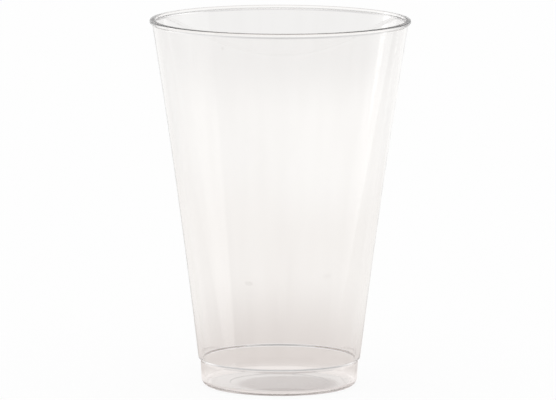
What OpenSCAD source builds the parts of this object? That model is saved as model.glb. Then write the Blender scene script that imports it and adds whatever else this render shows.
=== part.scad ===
// Clear moulded plastic tumbler: a smooth tapered wall that flares slightly to an outward bead
// at the rim, a stacking step low down, and a short foot with a recessed underside.
// It is one moulding with the same section all round, so it is one profile turned about Z.
// Millimetres, +Z up, origin at the centre of the base on the surface it stands on.

/* [Overall] */
// Height from the table to the top of the rim
cup_h = 116; // [90:1:150]
// Outside diameter of the tapered wall where the rim bead starts
mouth_d = 80.3; // [72:0.1:95]
// Outside diameter of the tapered wall at its lower end, just above the step
shoulder_d = 51; // [44:0.1:60]

/* [Wall] */
// Wall thickness at the rim
rim_wall_t = 0.7; // [0.5:0.05:2]
// Wall thickness just above the step
low_wall_t = 1.25; // [1:0.05:2]
// How far the wall bows in towards the axis at half its height, so that it flares to the rim
wall_bow = 0.55; // [0:0.05:1]

/* [Rim bead] */
// How far the bead stands out from the wall
bead_out = 0.85; // [0.8:0.05:2.5]
// Height of the bead with its slanted underside
bead_h = 1.6; // [1.5:0.05:3]
// Height of the upright outer face of the bead
bead_face_h = 1.0; // [0.8:0.05:1.2]
// Rounding of the bead's lower outer edge
bead_round = 0.45; // [0.1:0.05:0.5]
// Rounding of the rim's top outer edge
rim_round = 0.4; // [0.1:0.05:0.5]
// Rounding of the drinking edge inside the rim
lip_round = 0.15; // [0.05:0.05:0.3]

/* [Stacking step] */
// How far the foot is set in from the wall above it
step_in = 0.65; // [0.3:0.05:0.8]
// Height over which the wall steps in
step_h = 0.6; // [0.3:0.05:1.5]
// Rounding of the step's outer edge
step_round = 0.5; // [0.1:0.05:0.6]
// Rounding of the step's root
root_round = 0.6; // [0.1:0.05:0.8]

/* [Foot] */
// Height of the foot from the table to the step
foot_h = 8.2; // [6:0.1:14]
// Draft of the foot inside and outside, in degrees from upright
foot_draft = 2.9; // [0:0.1:5]
// How far below the step the inner wall turns from the taper to the draft of the foot
bend_drop = 0.8; // [0.2:0.1:3]
// Radius of the heel, where the foot turns under
heel_round = 2.4; // [1:0.1:3]

/* [Floor] */
// Thickness of the floor over the recess
floor_t = 0.75; // [0.6:0.05:2]
// Radius of the corner between floor and wall inside
floor_round = 1.2; // [0.3:0.1:2]
// Diameter of the recess in the underside
recess_d = 31; // [20:0.2:34]
// Depth of the recess, which keeps the gate mark off the table
recess_depth = 0.3; // [0.2:0.05:0.6]
// Rounding of the recess at its step
recess_round = 0.15; // [0.05:0.05:0.3]
// Diameter of the gate mark left at the centre of the underside
gate_d = 2.4; // [1:0.1:4]
// Height of the gate mark
gate_h = 0.15; // [0.05:0.05:0.2]

/* [Hidden] */

// Largest turn between two points of a rounded corner, in degrees
arc_step = 11;
// Most of a straight side that one rounded corner may take up
side_share = 0.48;
// Straight pieces that the bowed wall is made of
bow_pieces = 8;
// Smoothness of the preview
$fn = 180;

mouth_r = mouth_d / 2;
shoulder_r = shoulder_d / 2;
foot_top_r = shoulder_r - step_in;
foot_slope = tan(foot_draft);
foot_bottom_r = foot_top_r - foot_h * foot_slope;
step_z = foot_h + step_h;
floor_z = recess_depth + floor_t;
mouth_in_r = mouth_r - rim_wall_t;
shoulder_in_r = shoulder_r - low_wall_t;

// The inner wall is smooth past the step: one taper from the rim to the bend, bowed like the
// outer wall, and from there down to the floor it runs parallel to the outer wall of the foot
taper_in = (mouth_in_r - shoulder_in_r) / (cup_h - step_z);
bend_z = foot_h - bend_drop;
bend_r = shoulder_in_r - taper_in * (step_z - bend_z);
floor_in_r = bend_r - foot_slope * (bend_z - floor_z);

function unit(v) = v / norm(v);

// The points that round corner b of the path a, b, c with radius r, limited by the shorter side
function rounded(a, b, c, r) =
    let (
        u = unit(a - b),
        v = unit(c - b),
        half_angle = acos(u * v) / 2,
        reach = min(r / tan(half_angle), side_share * min(norm(a - b), norm(c - b))),
        radius = reach * tan(half_angle),
        centre = b + unit(u + v) * radius / sin(half_angle),
        from = b + u * reach - centre,
        to = b + v * reach - centre,
        start = atan2(from[1], from[0]),
        turn = (atan2(to[1], to[0]) - start + 540) % 360 - 180,
        steps = max(2, ceil(abs(turn) / arc_step))
    )
    [for (i = [0:steps])
        let (angle = start + turn * i / steps)
        centre + radius * [cos(angle), sin(angle)]];

// The corners between a and b of a wall that bows in towards the axis by wall_bow
function bowed(a, b) =
    [for (i = [1:bow_pieces - 1])
        let (t = i / bow_pieces)
        [a[0] + (b[0] - a[0]) * t - 4 * wall_bow * t * (1 - t), a[1] + (b[1] - a[1]) * t, 0]];

// Corners as [distance from the axis, height, rounding]
function outline(corners) =
    let (last = len(corners) - 1)
    [for (i = [0:last])
        let (
            b = [corners[i][0], corners[i][1]],
            r = corners[i][2]
        )
        each r == 0 ? [b] : rounded(
            [corners[i - 1][0], corners[i - 1][1]],
            b,
            [corners[i + 1][0], corners[i + 1][1]],
            r
        )];

// The ends of the wall's two faces
shoulder = [shoulder_r, step_z, step_round];
bead_root = [mouth_r, cup_h - bead_h, 0];
drinking_edge = [mouth_in_r, cup_h, lip_round];
bend = [bend_r, bend_z, 0];

// Underside and outer face, from the middle of the underside up to the bead
outer_corners = [
    [0, recess_depth - gate_h, 0],
    [gate_d / 2, recess_depth - gate_h, 0],
    [gate_d / 2, recess_depth, 0],
    [recess_d / 2, recess_depth, recess_round],
    [recess_d / 2, 0, recess_round],
    [foot_bottom_r, 0, heel_round],
    [foot_top_r, foot_h, root_round],
    shoulder,
    each bowed(shoulder, bead_root),
    bead_root,
    [mouth_r + bead_out, cup_h - bead_face_h, bead_round],
    [mouth_r + bead_out, cup_h, rim_round]
];

// Drinking edge and inner face, from the rim down to the middle of the floor
inner_corners = [
    drinking_edge,
    each bowed(drinking_edge, bend),
    bend,
    [floor_in_r, floor_z, floor_round],
    [0, floor_z, 0]
];

module tumbler() {
    color([0.93, 0.94, 0.94, 0.35])
        rotate_extrude()
            polygon(outline(concat(outer_corners, inner_corners)));
}

tumbler();
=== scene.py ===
import math

import bmesh
import bpy
from mathutils import Matrix, Vector


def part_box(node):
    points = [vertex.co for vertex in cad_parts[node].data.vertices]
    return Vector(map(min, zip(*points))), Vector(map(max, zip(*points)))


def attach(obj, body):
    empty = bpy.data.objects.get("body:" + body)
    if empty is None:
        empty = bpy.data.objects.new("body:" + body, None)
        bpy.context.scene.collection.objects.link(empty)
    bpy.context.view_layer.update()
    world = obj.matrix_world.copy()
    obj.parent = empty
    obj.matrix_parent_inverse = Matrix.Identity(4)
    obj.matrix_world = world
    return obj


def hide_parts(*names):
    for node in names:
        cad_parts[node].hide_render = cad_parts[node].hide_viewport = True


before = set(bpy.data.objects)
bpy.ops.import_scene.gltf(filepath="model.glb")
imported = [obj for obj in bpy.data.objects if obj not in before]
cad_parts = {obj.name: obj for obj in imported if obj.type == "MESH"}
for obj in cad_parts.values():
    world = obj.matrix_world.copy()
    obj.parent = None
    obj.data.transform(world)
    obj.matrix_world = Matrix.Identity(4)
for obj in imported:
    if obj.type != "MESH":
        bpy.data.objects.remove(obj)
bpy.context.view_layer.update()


# The camera stands two metres from the cup with a long lens and looks down on it a little.
# Its place was worked out from the rim, the step and the foot in the photograph.
photo_width_px = 556
focal_length_px = 6796.4
sensor_width_mm = 36
camera_place = Vector((0, -2.1179, 0.35837))
camera_target = Vector((-0.000548, 0, 0.058765))
camera_roll = 0.002961
camera_reach = 100

camera_data = bpy.data.cameras.new("camera")
camera_data.sensor_width = sensor_width_mm
camera_data.lens = focal_length_px / photo_width_px * sensor_width_mm
camera_data.clip_end = camera_reach
camera = bpy.data.objects.new("camera", camera_data)
bpy.context.collection.objects.link(camera)
aim = (camera_target - camera_place).to_track_quat("-Z", "Y").to_matrix()
turned = aim @ Matrix.Rotation(camera_roll, 3, "Z")
camera.matrix_world = Matrix.Translation(camera_place) @ turned.to_4x4()
bpy.context.scene.camera = camera

# Light crosses up to ten faces of clear plastic, and with few bounces the rim and the foot turn grey
light_bounces = 64
bpy.context.scene.cycles.max_bounces = light_bounces
bpy.context.scene.cycles.transmission_bounces = light_bounces
bpy.context.scene.cycles.glossy_bounces = light_bounces


# The tumbler is one injection moulding in clear polystyrene, filled through the middle of its underside.
# Its section is turned about the upright axis, with the corners drawn sharp and then rounded.
# The height and the rim's radius come from the frame, and the walls are given in millimetres.
MM = 0.001
tumbler_low, tumbler_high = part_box("tumbler")
cup_height = tumbler_high[2] - tumbler_low[2]
rim_radius = tumbler_high[0]

bead_out = 0.85 * MM
bead_height = 1.6 * MM
bead_face_height = 1.0 * MM
rim_wall = 0.7 * MM
shoulder_radius = 25.5 * MM
low_wall = 1.25 * MM
wall_bow = 0.55 * MM
step_in = 0.65 * MM
step_height = 0.6 * MM
foot_height = 8.2 * MM
foot_slope = math.tan(math.radians(2.9))
bend_drop = 0.8 * MM
floor_thickness = 0.75 * MM
recess_radius = 15.5 * MM
recess_depth = 0.3 * MM
gate_radius = 1.2 * MM
gate_height = 0.15 * MM

recess_rounding = 0.15 * MM
heel_rounding = 2.4 * MM
root_rounding = 0.6 * MM
shoulder_rounding = 0.5 * MM
bead_rounding = 0.45 * MM
rim_rounding = 0.4 * MM
lip_rounding = 0.15 * MM
bend_rounding = 1.0 * MM
floor_rounding = 1.2 * MM

wall_radius = rim_radius - bead_out
mouth_radius = wall_radius - rim_wall
step_top = foot_height + step_height
foot_top_radius = shoulder_radius - step_in
foot_bottom_radius = foot_top_radius - foot_height * foot_slope
inner_taper = (mouth_radius - (shoulder_radius - low_wall)) / (cup_height - step_top)
bend_height = foot_height - bend_drop
bend_radius = mouth_radius - inner_taper * (cup_height - bend_height)
floor_height = recess_depth + floor_thickness
floor_radius = bend_radius - foot_slope * (bend_height - floor_height)

# The ends of the wall's two faces, like each corner of the section: distance from the axis,
# height, radius of its rounding
shoulder = (shoulder_radius, step_top, shoulder_rounding)
bead_root = (wall_radius, cup_height - bead_height, 0)
drinking_edge = (mouth_radius, cup_height, lip_rounding)
bend = (bend_radius, bend_height, bend_rounding)

# The bowed wall is drawn in this many straight pieces
bow_pieces = 12


def bowed(start, end):
    """The corners between two ends of the wall, which bows in a little halfway up."""
    shares = [piece / bow_pieces for piece in range(1, bow_pieces)]
    return [
        (
            start[0] + (end[0] - start[0]) * share - 4 * wall_bow * share * (1 - share),
            start[1] + (end[1] - start[1]) * share,
            0,
        )
        for share in shares
    ]


# From the gate mark in the middle of the underside, out over the foot, the step and the wall to the
# bead, and then down the inner face to the middle of the floor
section = [
    (0, recess_depth - gate_height, 0),
    (gate_radius, recess_depth - gate_height, 0),
    (gate_radius, recess_depth, 0),
    (recess_radius, recess_depth, recess_rounding),
    (recess_radius, 0, recess_rounding),
    (foot_bottom_radius, 0, heel_rounding),
    (foot_top_radius, foot_height, root_rounding),
    shoulder,
    *bowed(shoulder, bead_root),
    bead_root,
    (rim_radius, cup_height - bead_face_height, bead_rounding),
    (rim_radius, cup_height, rim_rounding),
    drinking_edge,
    *bowed(drinking_edge, bend),
    bend,
    (floor_radius, floor_height, floor_rounding),
    (0, floor_height, 0),
]
steps_round = 256
merge_distance = 0.001 * MM

# The section is drawn as one line of edges and spun once round
bpy.ops.object.select_all(action="DESELECT")
first_radius, first_height, _ = section[0]
bpy.ops.mesh.primitive_plane_add(size=MM, location=(first_radius, 0, first_height))
tumbler = bpy.context.object
tumbler.name = "clear_tumbler"
bpy.ops.object.transform_apply(location=True)
bpy.ops.object.mode_set(mode="EDIT")
bpy.ops.mesh.select_all(action="SELECT")
bpy.ops.mesh.merge(type="CENTER")
for (radius, height, _), (next_radius, next_height, _) in zip(section, section[1:]):
    step = (next_radius - radius, 0, next_height - height)
    bpy.ops.mesh.extrude_region_move(TRANSFORM_OT_translate={"value": step})
bpy.ops.mesh.select_all(action="SELECT")
bpy.ops.mesh.spin(steps=steps_round, angle=math.tau, center=(0, 0, 0), axis=(0, 0, 1))
bpy.ops.mesh.select_all(action="SELECT")
bpy.ops.mesh.remove_doubles(threshold=merge_distance)
bpy.ops.mesh.normals_make_consistent(inside=False)


def select_ring(radius, height):
    """Select the ring of edges at this distance from the axis and this height."""
    near = 0.01 * MM
    bpy.ops.mesh.select_all(action="DESELECT")
    bpy.ops.mesh.select_mode(type="EDGE")
    mesh = bmesh.from_edit_mesh(tumbler.data)
    for edge in mesh.edges:
        edge.select = all(
            abs(vert.co.xy.length - radius) < near and abs(vert.co.z - height) < near
            for vert in edge.verts
        )
    bmesh.update_edit_mesh(tumbler.data)


# Every corner with a rounding is beveled, by the length that its arc takes up on both sides
largest_share_of_side = 0.48
fewest_segments = 4
segment_turn = math.radians(7)
for before, corner, after in zip(section, section[1:], section[2:]):
    radius, height, rounding = corner
    if rounding == 0:
        continue
    corner_point = Vector((radius, height))
    side_in = Vector(before[:2]) - corner_point
    side_out = Vector(after[:2]) - corner_point
    half_angle = side_in.angle(side_out) / 2
    shorter_side = min(side_in.length, side_out.length)
    arc_length = min(rounding / math.tan(half_angle), largest_share_of_side * shorter_side)
    arc_turn = math.pi - 2 * half_angle
    select_ring(radius, height)
    bpy.ops.mesh.bevel(
        offset=arc_length,
        offset_type="OFFSET",
        segments=max(fewest_segments, round(arc_turn / segment_turn)),
        profile=0.5,
        affect="EDGES",
    )
bpy.ops.object.mode_set(mode="OBJECT")

# The roundings are smooth, and the walls between them keep their own straight shading
smooth_up_to = math.radians(40)
bpy.ops.object.shade_smooth_by_angle(angle=smooth_up_to)
true_walls = tumbler.modifiers.new("true_walls", "WEIGHTED_NORMAL")
true_walls.keep_sharp = True
bpy.ops.object.modifier_apply(modifier=true_walls.name)


# What these four add goes into the nodes and links of the material or world that is being made
def calculate(operation, first, second=None):
    """Add a Math node that works on two sockets or numbers, and return its result."""
    node = nodes.new("ShaderNodeMath")
    node.operation = operation
    for socket, value in zip(node.inputs, (first, second)):
        if isinstance(value, (int, float)):
            socket.default_value = value
        elif value is not None:
            links.new(value, socket)
    return node.outputs["Value"]


def work_on_place(operation, where, other=(0, 0, 0)):
    """Add a Vector Math node that works on a place and a fixed vector, and return its outputs."""
    node = nodes.new("ShaderNodeVectorMath")
    node.operation = operation
    links.new(where, node.inputs[0])
    node.inputs[1].default_value = other
    return node.outputs


def ramp(value, start, end, low=0.0, high=1.0):
    """Add a smooth change from low to high while value goes from start to end."""
    node = nodes.new("ShaderNodeMapRange")
    node.interpolation_type = "SMOOTHSTEP"
    links.new(value, node.inputs["Value"])
    node.inputs["From Min"].default_value = start
    node.inputs["From Max"].default_value = end
    node.inputs["To Min"].default_value = low
    node.inputs["To Max"].default_value = high
    return node.outputs["Result"]


def blend(share, first, second):
    """Add a mix of two colours or colour sockets by a share from 0 to 1."""
    node = nodes.new("ShaderNodeMix")
    node.data_type = "RGBA"
    links.new(share, node.inputs["Factor"])
    for socket, colour in ((node.inputs["A"], first), (node.inputs["B"], second)):
        if isinstance(colour, tuple):
            socket.default_value = (*colour, 1)
        else:
            links.new(colour, socket)
    return node.outputs["Result"]


# Clear polystyrene: glossy and hardly tinted, with flow lines and a few scuffs, all of them faint.
# What the plastic takes from the light over a long way inside it draws the dark lines at its edges.
refractive_index = 1.59
clean_colour = (0.995, 0.99, 0.985)
worn_colour = (0.89, 0.88, 0.87)
worn_roughness = 0.12
inside_colour = (0.2, 0.05, 0.0, 1)
inside_density = 7.0

plastic = bpy.data.materials.new("clear_polystyrene")
plastic.use_nodes = True
nodes = plastic.node_tree.nodes
links = plastic.node_tree.links
surface = nodes["Principled BSDF"]
surface.inputs["IOR"].default_value = refractive_index
surface.inputs["Transmission Weight"].default_value = 1.0
place = nodes.new("ShaderNodeTexCoord").outputs["Object"]

# Faint flow lines run up the wall, as the plastic sets while it flows from the gate to the rim
flow_scale = 260.0
flow_detail = 2.0
flow_squeeze = (1.0, 1.0, 0.04)
flow_strength = 0.10
flow = nodes.new("ShaderNodeTexNoise")
flow.inputs["Scale"].default_value = flow_scale
flow.inputs["Detail"].default_value = flow_detail
links.new(work_on_place("MULTIPLY", place, flow_squeeze)["Vector"], flow.inputs["Vector"])
flow_lines = ramp(flow.outputs["Fac"], 0.42, 0.72)
wear = calculate("MULTIPLY", flow_lines, flow_strength)

# Scuffs in the outer face: where each one is and how far it reaches along each axis, in millimetres,
# and how strong it is
scuffs = (
    ((-9.7, -27.3, 36.3), (2.7, 0.8, 0.95), 1.0),
    ((15.1, -25.1, 38.4), (2.6, 1.2, 1.1), 0.5),
    ((-17.8, -35.4, 110.9), (0.6, 0.8, 0.8), 0.9),
)
for centre, reach, strength in scuffs:
    from_centre = work_on_place("SUBTRACT", place, Vector(centre) * MM)["Vector"]
    in_reaches = work_on_place("DIVIDE", from_centre, Vector(reach) * MM)["Vector"]
    off_centre = work_on_place("LENGTH", in_reaches)["Value"]
    wear = calculate("MAXIMUM", wear, ramp(off_centre, 1.0, 0.5, 0.0, strength))
links.new(blend(wear, clean_colour, worn_colour), surface.inputs["Base Color"])
links.new(calculate("MULTIPLY", wear, worn_roughness), surface.inputs["Roughness"])

inside = nodes.new("ShaderNodeVolumeAbsorption")
inside.inputs["Color"].default_value = inside_colour
inside.inputs["Density"].default_value = inside_density
links.new(inside.outputs["Volume"], nodes["Material Output"].inputs["Volume"])
tumbler.data.materials.clear()
tumbler.data.materials.append(plastic)

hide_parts("tumbler")
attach(tumbler, "root")


# The table is a plain pale floor. The camera sees it white, with a trace of the cup's shadow.
# Through the clear plastic it shows painted shade and painted light: darker and warmer close to the cup,
# and darkest under it.
table_radius = 30
table_drop = 0.03 * MM
lit_colour = (0.95, 0.95, 0.95, 1)
# Share of the emitted tones: white to the camera, and painted shade and light to mirrored and bent rays.
# The rest is the lit table with the cup's own rendered shadow.
painted_tone_share = 0.92

bpy.ops.object.select_all(action="DESELECT")
bpy.ops.mesh.primitive_circle_add(
    vertices=96, radius=table_radius, fill_type="NGON", location=(0, 0, -table_drop)
)
table = bpy.context.object
table.name = "table"
bpy.ops.object.transform_apply(location=True)
table_with_painted_light = bpy.data.materials.new("pale_table")
table_with_painted_light.use_nodes = True
nodes = table_with_painted_light.node_tree.nodes
links = table_with_painted_light.node_tree.links
nodes.clear()
output = nodes.new("ShaderNodeOutputMaterial")
lit_share = nodes.new("ShaderNodeMixShader")
lit = nodes.new("ShaderNodeBsdfDiffuse")
lit.inputs["Color"].default_value = lit_colour
pale = nodes.new("ShaderNodeEmission")
ray = nodes.new("ShaderNodeLightPath")
seen_by_camera = ray.outputs["Is Camera Ray"]

# Distances on the table, in metres: from the cup's axis, the same in an oval that is longest from
# front to back, and from the middle of the shade under the cup, which lies a little off the axis
oval_squeeze = (2.3, 1.0, 1.0)
shade_middle = (0.0028, -0.0026, 0.0)
place = nodes.new("ShaderNodeTexCoord").outputs["Object"]
place_parts = nodes.new("ShaderNodeSeparateXYZ")
links.new(place, place_parts.inputs["Vector"])
away = work_on_place("LENGTH", place)["Value"]
oval = work_on_place("LENGTH", work_on_place("MULTIPLY", place, oval_squeeze)["Vector"])["Value"]
from_shade = work_on_place("DISTANCE", place, shade_middle)["Value"]
in_front = ramp(place_parts.outputs["Y"], 0.004, -0.014)
to_the_right = ramp(place_parts.outputs["X"], -0.012, 0.02)
to_a_side = ramp(calculate("DIVIDE", oval, away), 1.25, 1.8)

# Each tone is laid over the ones before it, from the shade under the cup outwards: painted shade under
# the cup and close round it, a painted light ring under the foot, the painted shadow of the foot in
# front, the open table, painted light farther out and a painted pool of light to the right, darker again
# far out and to the sides, and white to the camera.
shade_under_cup = (0.51, 0.44, 0.42)
painted_light_under_foot = (0.93, 0.88, 0.86)
shadow_of_foot = (0.53, 0.46, 0.44)
painted_shade_close_by = (0.74, 0.69, 0.665)
open_table = (0.945, 0.925, 0.905)
painted_light_farther_out = (0.985, 0.98, 0.97)
painted_pool_of_light = (1.015, 1.01, 1.0)
far_table = (0.90, 0.895, 0.89)
white = (1.0, 1.0, 1.0)
tone = shade_under_cup
for share, next_tone in (
    (ramp(from_shade, 0.0140, 0.0170), painted_light_under_foot),
    (calculate("MULTIPLY", ramp(away, 0.0235, 0.0255), in_front), shadow_of_foot),
    (ramp(away, 0.031, 0.042), painted_shade_close_by),
    (ramp(oval, 0.06, 0.235), open_table),
    (ramp(away, 0.3, 0.55), painted_light_farther_out),
    (calculate("MULTIPLY", ramp(away, 0.3, 0.5), to_the_right), painted_pool_of_light),
    (ramp(away, 0.62, 0.85), far_table),
    (calculate("MULTIPLY", ramp(away, 0.27, 0.37), to_a_side), far_table),
    (seen_by_camera, white),
):
    tone = blend(share, tone, next_tone)
links.new(tone, pale.inputs["Color"])

seen_directly = calculate("MAXIMUM", seen_by_camera, ray.outputs["Is Glossy Ray"])
seen_at_all = calculate("MAXIMUM", seen_directly, ray.outputs["Is Transmission Ray"])
links.new(calculate("MULTIPLY", seen_at_all, painted_tone_share), lit_share.inputs["Fac"])
links.new(lit.outputs["BSDF"], lit_share.inputs[1])
links.new(pale.outputs["Emission"], lit_share.inputs[2])
links.new(lit_share.outputs["Shader"], output.inputs["Surface"])
table.data.materials.append(table_with_painted_light)


# The studio is a pale room with soft light panels: one at the back left, a long one along the right,
# a tall one at the back right, one overhead at the front, and a thin strip lamp low at the back left.
# The room is white to the camera, and the plastic mirrors and bends all that stands in it.
room = bpy.data.worlds.new("studio")
bpy.context.scene.world = room
room.use_nodes = True
nodes = room.node_tree.nodes
links = room.node_tree.links
nodes.clear()
output = nodes.new("ShaderNodeOutputWorld")
light = nodes.new("ShaderNodeBackground")
light.inputs["Color"].default_value = (1, 1, 1, 1)
ray = nodes.new("ShaderNodeLightPath")
direction = nodes.new("ShaderNodeTexCoord")
parts = nodes.new("ShaderNodeSeparateXYZ")
links.new(direction.outputs["Generated"], parts.inputs["Vector"])

# The bearing is 0 degrees towards the front and grows to the right, and the rise is from the level
degrees_per_radian = 180 / math.pi
to_front = calculate("MULTIPLY", parts.outputs["Y"], -1.0)
bearing = calculate("MULTIPLY", calculate("ARCTAN2", parts.outputs["X"], to_front), degrees_per_radian)
rise = calculate("MULTIPLY", calculate("ARCSINE", parts.outputs["Z"]), degrees_per_radian)


def panel(left, right, top, strength):
    """A panel up from the floor. Each side is where it is and how soft it is, in degrees."""
    left_side = ramp(bearing, left[0] - left[1], left[0] + left[1])
    right_side = ramp(bearing, right[0] + right[1], right[0] - right[1])
    below_top = ramp(rise, top[0] + top[1], top[0] - top[1], 0.0, strength)
    return calculate("MULTIPLY", calculate("MULTIPLY", left_side, right_side), below_top)


# The right panel's foot is brighter, and beside it the room is dark along the floor
back_left_panel = panel(left=(-168, 14), right=(-102, 14), top=(31, 21), strength=0.52)
right_panel = panel(left=(71, 0.5), right=(154, 14), top=(50, 8), strength=0.14)
right_panel_foot = panel(left=(71, 0.5), right=(104, 12), top=(6, 4), strength=0.30)
low_dark_stretch = panel(left=(38, 14), right=(71, 0.5), top=(3, 3), strength=-0.40)
back_right_panel = panel(left=(137, 10), right=(153, 10), top=(48, 8), strength=0.60)
strip = panel(left=(-121, 1), right=(-112, 1), top=(6, 2), strength=0.85)
strip_lamp = calculate("MULTIPLY", strip, ramp(rise, 1.4, 2.1))
over_front = calculate("MULTIPLY", ramp(rise, 37, 61), ramp(to_front, -0.3, 0.7))
ceiling_panel = calculate("MULTIPLY", over_front, 0.7)

# A dark doorway in the middle of the back wall, with a darker step in it, draws the lines of the
# foot and the rim
doorway = calculate("MULTIPLY", ramp(calculate("ABSOLUTE", bearing), 163, 173), ramp(rise, 31, 25))
doorway_shade = calculate("MULTIPLY", doorway, ramp(rise, 3, 20, 0.0, -0.35))
doorstep = calculate("MULTIPLY", ramp(rise, 3.2, 4.4), ramp(rise, 8.6, 7.4, 0.0, -0.2))
doorstep_shade = calculate("MULTIPLY", doorway, doorstep)

# The room glows a little more along its walls than overhead, and all the rest is added to that
low_glow = 0.89
high_glow = 0.76
glow = ramp(rise, 8, 35, low_glow, high_glow)
for light_or_shade in (
    back_left_panel,
    right_panel,
    right_panel_foot,
    low_dark_stretch,
    strip_lamp,
    doorway_shade,
    doorstep_shade,
    back_right_panel,
    ceiling_panel,
):
    glow = calculate("ADD", glow, light_or_shade)
white_to_camera = nodes.new("ShaderNodeMix")
white_to_camera.data_type = "FLOAT"
white_to_camera.inputs["B"].default_value = 1.0
links.new(ray.outputs["Is Camera Ray"], white_to_camera.inputs["Factor"])
links.new(glow, white_to_camera.inputs["A"])
links.new(white_to_camera.outputs["Result"], light.inputs["Strength"])
links.new(light.outputs["Background"], output.inputs["Surface"])
bpy.context.scene.view_settings.view_transform = "Standard"
